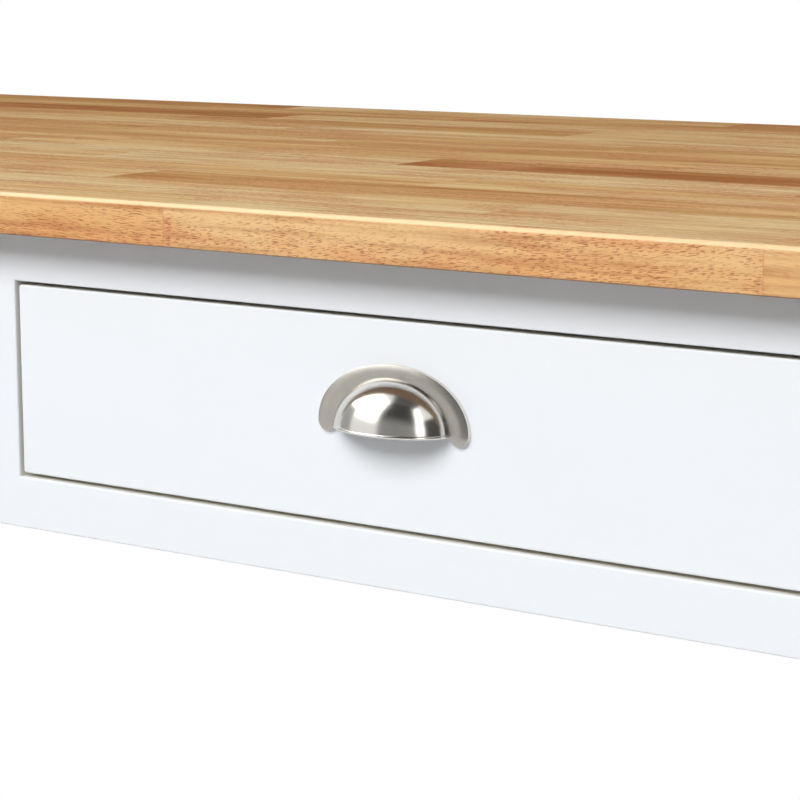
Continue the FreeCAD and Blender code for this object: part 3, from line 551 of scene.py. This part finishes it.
def add_form(target, extra):
    """Copy one bmesh into another and free it."""
    carrier = bpy.data.meshes.new("carrier")
    extra.to_mesh(carrier)
    extra.free()
    target.from_mesh(carrier)
    bpy.data.meshes.remove(carrier)


def rolled_bead(half, depth, radius):
    """Round bead along the cup's open rim, bent from a half ring to the rim's oval."""
    bead = bmesh.new()
    start = Matrix.Translation((half, 0, 0)) @ Matrix.Rotation(math.pi / 2, 4, "X")
    profile = bmesh.ops.create_circle(bead, cap_ends=False, radius=radius, segments=12, matrix=start)["verts"]
    bmesh.ops.spin(bead, geom=[*profile, *bead.edges], cent=(0, 0, 0), axis=(0, 0, 1), dvec=(0, 0, 0),
                   angle=-math.pi, steps=72, use_merge=False)
    for vert in bead.verts:
        across = -vert.co.y / vert.co.xy.length
        vert.co.y -= (depth - half) * across
    ends = [edge for edge in bead.edges if len(edge.link_faces) == 1]
    bmesh.ops.holes_fill(bead, edges=ends, sides=0)
    bmesh.ops.recalc_face_normals(bead, faces=bead.faces[:])
    return bead


def cup_dome(look, half, depth):
    """Quarter egg shell, open below, whose top leans forward from the plate."""
    dome = bmesh.new()
    bmesh.ops.create_uvsphere(dome, u_segments=96, v_segments=64, radius=1.0)
    bmesh.ops.rotate(dome, verts=dome.verts[:], cent=(0, 0, 0),
                     matrix=Matrix.Rotation(math.pi / 2, 3, "Y"))
    keep_side(dome, (0, 0, 1))
    keep_side(dome, (0, -1, 0))
    for vert in dome.verts:
        out = min(math.hypot(vert.co.x, vert.co.z), 1.0)
        tilt = look.cup_lean * max(vert.co.z, 0.0) / max(out, 0.001)
        bulge = math.sqrt(1 - (out * math.cos(tilt)) ** 2) - math.sin(tilt)
        vert.co.y = -max(bulge, 0.0) / (1 - math.sin(tilt))
    bmesh.ops.scale(dome, verts=dome.verts[:], vec=(half, depth, look.cup_rise))
    bmesh.ops.remove_doubles(dome, verts=dome.verts[:], dist=0.000002)
    bmesh.ops.recalc_face_normals(dome, faces=dome.faces[:])
    if sum(face.normal.dot(face.calc_center_median()) for face in dome.faces) < 0:
        bmesh.ops.reverse_faces(dome, faces=dome.faces[:])
    bmesh.ops.solidify(dome, geom=dome.faces[:], thickness=look.cup_wall)
    return dome


def rim_plate(look, half, rise, inner_half):
    """Half-moon rim plate with two rounded legs, raised a little towards the cup."""
    plate = bmesh.new()
    bmesh.ops.create_circle(plate, cap_ends=False, radius=1.0, segments=128)
    bmesh.ops.rotate(plate, verts=plate.verts[:], cent=(0, 0, 0),
                     matrix=Matrix.Rotation(math.pi / 2, 3, "X"))
    keep_side(plate, (0, 0, 1))
    bmesh.ops.scale(plate, verts=plate.verts[:], vec=(half, 1, rise))
    grown = bmesh.ops.extrude_edge_only(plate, edges=plate.edges[:])["geom"]
    inner = [item for item in grown if isinstance(item, bmesh.types.BMVert)]
    bmesh.ops.scale(plate, verts=inner, vec=(inner_half / half, 1, look.plate_inner_rise / rise))
    leg_round = look.leg_width / 2
    leg_middle = half - leg_round
    foot = leg_round - look.leg_drop
    for side in (-1, 1):
        ends = [edge for edge in plate.edges if len(edge.link_faces) == 1
                and all(abs(vert.co.z) < 0.00001 and vert.co.x * side > 0 for vert in edge.verts)]
        for turn in range(0, 90, FOOT_STEP):
            grown = bmesh.ops.extrude_edge_only(plate, edges=ends)["geom"]
            ends = [item for item in grown if isinstance(item, bmesh.types.BMEdge)]
            angle = math.radians(turn)
            tips = [item for item in grown if isinstance(item, bmesh.types.BMVert)]
            tips.sort(key=lambda tip: tip.co.x)
            for tip, way in zip(tips, (-1, 1)):
                tip.co.x = side * leg_middle + way * leg_round * math.cos(angle)
                tip.co.z = foot - leg_round * math.sin(angle)
            ends = [edge for edge in ends if all(vert in tips for vert in edge.verts)]
    rungs = [edge for edge in plate.edges if len(edge.link_faces) == 2]
    bmesh.ops.subdivide_edges(plate, edges=rungs, cuts=PLATE_ROWS, use_grid_fill=True)
    solid = bmesh.ops.extrude_face_region(plate, geom=plate.faces[:])["geom"]
    raised = [item for item in solid if isinstance(item, bmesh.types.BMVert)]
    bmesh.ops.translate(plate, verts=raised, vec=(0, -look.plate_thickness, 0))
    for vert in raised:
        if vert.co.z > 0:
            reach = math.hypot(vert.co.x, vert.co.z)
            inside = reach / math.hypot(vert.co.x / half, vert.co.z / rise) - reach
        else:
            inside = leg_round - math.hypot(max(abs(vert.co.x) - leg_middle, 0.0),
                                            min(vert.co.z - foot, 0.0))
        slack = 1 - min(max(inside / look.crown_width, 0.0), 1.0)
        vert.co.y -= look.plate_crown * (1 - slack ** 2)
    bmesh.ops.recalc_face_normals(plate, faces=plate.faces[:])
    crest = [edge for edge in plate.edges if edge.calc_face_angle(0.0) > math.radians(60)
             and all(vert.co.y < -look.plate_thickness * 0.9 for vert in edge.verts)]
    round_edges(plate, crest, look.plate_round, segments=5, clamp=True)
    return plate


class CART_OT_worktop(bpy.types.Operator):
    """Finish the worktop as glued and varnished staves"""
    bl_idname = "cart.worktop"
    bl_label = "Worktop"

    def execute(self, context):
        dress(slot_nodes("worktop_wood"), stave_finish(context.scene.cart_worktop))
        return {"FINISHED"}


class CART_OT_painted_woodwork(bpy.types.Operator):
    """Paint the legs, aprons, drawer fronts and shelf"""
    bl_idname = "cart.painted_woodwork"
    bl_label = "Painted woodwork"

    def execute(self, context):
        dress(slot_nodes("white_paint"), paint_finish(context.scene.cart_woodwork))
        return {"FINISHED"}


class CART_OT_bare_boards(bpy.types.Operator):
    """Give the drawer boxes, runner boards and corner blocks their bare wood"""
    bl_idname = "cart.bare_boards"
    bl_label = "Bare boards"

    def execute(self, context):
        look = context.scene.cart_woodwork
        lengthwise = board_finish("bare_wood_front_to_back", (1.0, 0.05, 1.0), look.bare, look.bare_dark)
        crosswise = board_finish("bare_wood_side_to_side", (0.05, 1.0, 1.0), look.bare, look.bare_dark)
        veneer = board_finish("plywood_face", (0.6, 0.03, 0.6), look.sheet, look.bare)
        dress(slot_nodes("bare_wood"), lengthwise)
        dress(["corner_blocks"], crosswise)
        for side in SIDES:
            dress([f"{side}_drawer_box_front", f"{side}_drawer_back"], crosswise)
            dress([f"{side}_drawer_bottom"], veneer)
        return {"FINISHED"}


class CART_OT_runners(bpy.types.Operator):
    """Coat the drawer slides and mould their rollers"""
    bl_idname = "cart.runners"
    bl_label = "Drawer runners"

    def execute(self, context):
        look = context.scene.cart_hardware
        dress(slot_nodes("coated_steel"), moulded_finish("epoxy_coat", look.epoxy, 0.38, 700.0, 0.00002))
        dress(slot_nodes("nylon"), moulded_finish("moulded_nylon", look.nylon, 0.44))
        return {"FINISHED"}


class CART_OT_fasteners(bpy.types.Operator):
    """Plate the screws, bolts, nuts, inserts, stems and axles"""
    bl_idname = "cart.fasteners"
    bl_label = "Fasteners"

    def execute(self, context):
        look = context.scene.cart_hardware
        plated = metal_finish("zinc_plate", look.zinc, (300.0, 300.0, 300.0), 0.18, 0.16, 0.00001)
        dress(slot_nodes("zinc_steel"), plated)
        return {"FINISHED"}


class CART_OT_cup_pulls(bpy.types.Operator):
    """Build both cup pulls with their rim plate, hollow cup and rolled lip"""
    bl_idname = "cart.cup_pulls"
    bl_label = "Cup pulls"

    def execute(self, context):
        look = context.scene.cart_hardware
        polished = metal_finish("polished_nickel", look.nickel, (900.0, 900.0, 60.0), 0.12, 0.05, 0.000001)
        brushed = metal_finish("brushed_nickel", look.brushed, (60.0, 900.0, 900.0), 0.20, 0.12, 0.000003)
        for side in SIDES:
            low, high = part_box(f"{side}_cup_pull")
            half = (high.x - low.x) / 2
            depth = high.y - low.y
            rise = high.z - low.z - look.leg_drop
            dome_half = half - look.leg_width
            dome = cup_dome(look, dome_half, depth)
            add_form(dome, rolled_bead(dome_half - look.lip / 2, depth - look.lip / 2, look.lip))
            bmesh.ops.translate(dome, verts=dome.verts[:], vec=(0, 0, -look.cup_sink))
            plate = rim_plate(look, half, rise, dome_half - look.plate_overlap)
            for face in plate.faces:
                face.material_index = int(face.normal.y < BRUSHED_FACING)
            add_form(dome, plate)
            middle = ((low.x + high.x) / 2, high.y, low.z + look.leg_drop)
            bmesh.ops.translate(dome, verts=dome.verts[:], vec=middle)
            pull = piece_from(dome, f"{side}_cup_pull_shell", [polished, brushed])
            settle(pull, f"{side}_drawer", f"{side}_cup_pull")
        return {"FINISHED"}


class CART_OT_caster_wheels(bpy.types.Operator):
    """Turn the caster wheels with a grooved tread and a ribbed centre"""
    bl_idname = "cart.caster_wheels"
    bl_label = "Caster wheels"

    def execute(self, context):
        look = context.scene.cart_hardware
        tread = moulded_finish("rubber_tread", look.tread, 0.58, 700.0, 0.00006)
        hub = moulded_finish("wheel_centre", look.hub, 0.42)
        outline = [(-u, r) for u, r in WHEEL_OUTLINE] + [(u, r) for u, r in reversed(WHEEL_OUTLINE)]
        for corner in CORNERS:
            low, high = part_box(f"{corner}_caster_wheel")
            form = bmesh.new()
            ring = [form.verts.new((u / 1000, 0, r / 1000)) for u, r in outline]
            edges = [form.edges.new(pair) for pair in zip(ring, ring[1:] + ring[:1])]
            bmesh.ops.spin(form, geom=[*ring, *edges], cent=(0, 0, 0), axis=(1, 0, 0), dvec=(0, 0, 0),
                           angle=math.tau, steps=72, use_merge=True)
            bmesh.ops.remove_doubles(form, verts=form.verts[:], dist=0.000005)
            bmesh.ops.recalc_face_normals(form, faces=form.faces[:])
            for face in form.faces:
                face.material_index = int(all(vert.co.yz.length < CENTRE_RADIUS for vert in face.verts))
            for side in (-1, 1):
                for number in range(look.spoke_count):
                    turn = Matrix.Rotation(math.tau * number / look.spoke_count, 4, "X")
                    place = turn @ Matrix.Translation((side * SPOKE_ASIDE, 0, SPOKE_MIDDLE))
                    self.add_spoke(form, place @ Matrix.Diagonal((*SPOKE_SIZE, 1.0)))
            bmesh.ops.translate(form, verts=form.verts[:], vec=(low + high) / 2)
            wheel = piece_from(form, f"{corner}_wheel_turned", [tread, hub])
            settle(wheel, f"{corner}_wheel", f"{corner}_caster_wheel")
        return {"FINISHED"}

    def add_spoke(self, form, place):
        """Add one rounded rib in the colour of the wheel's centre."""
        spoke = bmesh.ops.create_cube(form, size=1.0, matrix=place)["verts"]
        for vert in spoke:
            for face in vert.link_faces:
                face.material_index = 1
        edges = dict.fromkeys(edge for vert in spoke for edge in vert.link_edges)
        round_edges(form, list(edges), SPOKE_ROUND)


class CART_OT_caster_forks(bpy.types.Operator):
    """Soften the pressed edges of the caster forks"""
    bl_idname = "cart.caster_forks"
    bl_label = "Caster forks"

    def execute(self, context):
        look = context.scene.cart_hardware
        plate = metal_finish("zinc_pressing", look.zinc, (220.0, 60.0, 220.0), 0.20, 0.16, 0.00001)
        for corner in CORNERS:
            node = f"{corner}_caster_fork"
            fork = softened_copy(node, f"{corner}_fork_pressing", [plate], look.pressed_edge)
            settle(fork, f"{corner}_fork", node)
        return {"FINISHED"}


class CART_OT_brake_pedals(bpy.types.Operator):
    """Mould the brake pedals with grip ribs"""
    bl_idname = "cart.brake_pedals"
    bl_label = "Brake pedals"

    def execute(self, context):
        look = context.scene.cart_hardware
        plastic = moulded_finish("pedal_moulding", look.pedal, 0.46)
        for side in SIDES:
            node = f"front_{side}_brake_pedal"
            pedal = softened_copy(node, f"front_{side}_pedal_moulding", [plastic], PEDAL_ROUND)
            settle(pedal, f"front_{side}_pedal", node)
            low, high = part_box(node)
            ribs = bmesh.new()
            rib_form = Matrix.Rotation(PEDAL_SLOPE, 4, "X") @ Matrix.Diagonal((*RIB_SIZE, 1.0))
            for back in RIB_PLACES:
                top = high.z - (back - 0.001) * math.tan(PEDAL_SLOPE) - RIB_SINK
                place = Matrix.Translation(((low.x + high.x) / 2, high.y - back, top))
                bmesh.ops.create_cube(ribs, size=1.0, matrix=place @ rib_form)
            round_edges(ribs, ribs.edges[:], RIB_ROUND)
            grip = piece_from(ribs, f"front_{side}_pedal_ribs", [plastic])
            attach(grip, f"front_{side}_pedal")
        return {"FINISHED"}


def add_light(name, place, target, size, power):
    """A soft rectangular light that looks at a target and doesn't show in polished surfaces."""
    light = bpy.data.lights.new(name, "AREA")
    light.shape = "RECTANGLE"
    light.size, light.size_y = size
    light.energy = power
    lamp = bpy.data.objects.new(name, light)
    lamp.location = place
    lamp.visible_glossy = False
    lamp.rotation_euler = (Vector(target) - Vector(place)).to_track_quat("-Z", "Y").to_euler()
    bpy.context.scene.collection.objects.link(lamp)
    return lamp


def add_card(name, place, target, size, level):
    """A plain card with soft edges that only shows in polished surfaces."""
    turn = (Vector(target) - Vector(place)).to_track_quat("Z", "Y").to_matrix()
    cloth = new_finish(name)
    offset = cloth.shifted(cloth.spot(), tuple(-part for part in place))
    across = cloth.reach(offset, turn.col[0]) / (size[0] / 2)
    along = cloth.reach(offset, turn.col[1]) / (size[1] / 2)
    body = (1.0 - across.rise(CARD_FADE, 1.0)) * (1.0 - along.rise(CARD_FADE, 1.0))
    clear = cloth.node("ShaderNodeBsdfTransparent")
    glow = cloth.node("ShaderNodeEmission", None, {"Color": (1, 1, 1, 1), "Strength": level})
    cloth.mixture(body, clear, glow)
    sheet = bmesh.new()
    bmesh.ops.create_grid(sheet, x_segments=1, y_segments=1, size=0.5)
    bmesh.ops.scale(sheet, verts=sheet.verts[:], vec=(*size, 1.0))
    bmesh.ops.transform(sheet, verts=sheet.verts[:], matrix=Matrix.Translation(place) @ turn.to_4x4())
    card = piece_from(sheet, name, [cloth.owner])
    card.visible_camera = False
    card.visible_diffuse = False
    card.visible_transmission = False
    card.visible_shadow = False


def background_rays(nodes):
    """1 for the rays that see plain white: straight from the camera, mirrored or through glass."""
    camera = nodes.node("ShaderNodeLightPath", out="Is Camera Ray")
    return camera.most(camera.output("Is Glossy Ray")).most(camera.output("Is Transmission Ray"))


class CART_OT_stage(bpy.types.Operator):
    """Set up the floor, the soft light and the camera"""
    bl_idname = "cart.stage"
    bl_label = "Stage"

    def execute(self, context):
        look = context.scene.cart_stage
        scene = context.scene
        scene.view_settings.view_transform = "Standard"
        floor_paint = new_finish("studio_floor")
        x, y, _ = floor_paint.axes(floor_paint.spot())
        reach = floor_paint.node("ShaderNodeVectorMath", {"operation": "LENGTH"},
                                 {0: floor_paint.vector(x * 0.75, y, 0.0)}, "Value")
        matt = floor_paint.node("ShaderNodeBsdfDiffuse", None, {"Color": opaque(look.floor)}, "BSDF")
        white = floor_paint.node("ShaderNodeEmission", None, {"Color": (1, 1, 1, 1), "Strength": 1.0})
        floor_paint.mixture(reach.rise(0.35, 1.05) * background_rays(floor_paint), matt, white)
        sheet = bmesh.new()
        bmesh.ops.create_grid(sheet, x_segments=8, y_segments=8, size=7.0)
        bmesh.ops.translate(sheet, verts=sheet.verts[:], vec=(0, 0, -0.0003))
        piece_from(sheet, "studio_floor", [floor_paint.owner])
        world = bpy.data.worlds.new("studio_world")
        scene.world = world
        around = Nodes(world)
        strength = background_rays(around) * (1.0 - look.fill) + look.fill
        glow = around.node("ShaderNodeBackground", None, {"Color": (1, 1, 1, 1), "Strength": strength})
        around.node("ShaderNodeOutputWorld", None, {"Surface": glow})
        self.place_lights(look)
        self.place_cards()
        self.place_camera(scene, look)
        return {"FINISHED"}

    def place_lights(self, look):
        middle = (0.0, 0.0, 0.6)
        key = add_light("key_light", place=(0.30, -2.90, 2.93), target=(0.2, -0.3, 0.85), size=(2.8, 1.5),
                        power=look.key_power)
        key.data.spread = math.radians(100)
        add_light("left_light", place=(-3.0, -0.4, 1.4), target=middle, size=(1.6, 1.4),
                  power=look.side_power)
        add_light("right_light", place=(3.0, 0.2, 1.4), target=middle, size=(1.6, 1.4),
                  power=look.side_power)
        add_light("back_light", place=(-0.2, 3.2, 0.7), target=middle, size=(2.4, 0.9),
                  power=look.back_power)

    def place_cards(self):
        """Stand the cards round the right pull, one above it and one behind the cart."""
        pull_low, pull_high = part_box("right_cup_pull")
        pull = (pull_low + pull_high) / 2
        for name, (first, last), (bottom, top), away, level in CARDS:
            turn = math.radians((first + last) / 2)
            width = 2 * away * math.tan(math.radians(last - first) / 2)
            low = away * math.tan(math.radians(bottom))
            high = away * math.tan(math.radians(top))
            place = pull + Vector((away * math.sin(turn), -away * math.cos(turn), (low + high) / 2))
            target = (pull.x, pull.y, place.z)
            add_card(name, place, target, (width, high - low), level)
        below = pull + Vector((0.10, -0.40, 0.0))
        add_card("card_above", place=below + Vector((0, 0, 1.20)), target=below, size=(0.90, 0.75),
                 level=0.10)
        back = Vector((-math.sin(BACKDROP_TURN), math.cos(BACKDROP_TURN), 0.0)) * BACKDROP_DISTANCE
        upward = Vector((0, 0, BACKDROP_HEIGHT))
        add_card("card_behind", place=back + upward, target=upward, size=(7.0, 3.6), level=0.06)

    def place_camera(self, scene, look):
        pull_low, pull_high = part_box("right_cup_pull")
        place = Vector(((pull_low.x + pull_high.x) / 2 + look.aside, -look.away, look.height))
        forward = Vector((-math.sin(look.yaw), math.cos(look.yaw), 0))
        ahead = forward * math.cos(look.pitch) - Vector((0, 0, math.sin(look.pitch)))
        level = Vector((math.cos(look.yaw), math.sin(look.yaw), 0))
        upright = level.cross(ahead)
        right = level * math.cos(look.roll) + upright * math.sin(look.roll)
        up = upright * math.cos(look.roll) - level * math.sin(look.roll)
        lens = bpy.data.cameras.new("camera")
        lens.lens = look.lens
        lens.sensor_width = 36.0
        lens.clip_start = 0.01
        camera = bpy.data.objects.new("camera", lens)
        turn = Matrix((right, up, -ahead)).transposed().to_4x4()
        camera.matrix_world = Matrix.Translation(place) @ turn
        scene.collection.objects.link(camera)
        scene.camera = camera


OPERATORS = (
    CART_OT_worktop, CART_OT_painted_woodwork, CART_OT_bare_boards, CART_OT_runners, CART_OT_fasteners,
    CART_OT_cup_pulls, CART_OT_caster_wheels, CART_OT_caster_forks, CART_OT_brake_pedals, CART_OT_stage,
)


class CART_PT_panel(bpy.types.Panel):
    """Lists what dresses the cart"""
    bl_idname = "CART_PT_panel"
    bl_label = "Kitchen Cart"
    bl_space_type = "VIEW_3D"
    bl_region_type = "UI"
    bl_category = "Kitchen Cart"

    def draw(self, context):
        for operator in OPERATORS:
            self.layout.operator(operator.bl_idname)


LOOKS = {"cart_worktop": WorktopLook, "cart_woodwork": WoodworkLook, "cart_hardware": HardwareLook,
         "cart_stage": StageLook}
CLASSES = (*LOOKS.values(), *OPERATORS, CART_PT_panel)


def register():
    for kind in CLASSES:
        bpy.utils.register_class(kind)
    for name, look in LOOKS.items():
        setattr(bpy.types.Scene, name, PointerProperty(type=look))


def unregister():
    for name in LOOKS:
        delattr(bpy.types.Scene, name)
    for kind in reversed(CLASSES):
        bpy.utils.unregister_class(kind)


def main():
    register()
    bpy.ops.cart.worktop()
    bpy.ops.cart.painted_woodwork()
    bpy.ops.cart.bare_boards()
    bpy.ops.cart.runners()
    bpy.ops.cart.fasteners()
    bpy.ops.cart.cup_pulls()
    bpy.ops.cart.caster_wheels()
    bpy.ops.cart.caster_forks()
    bpy.ops.cart.brake_pedals()
    bpy.ops.cart.stage()


if __name__ == "__main__":
    main()
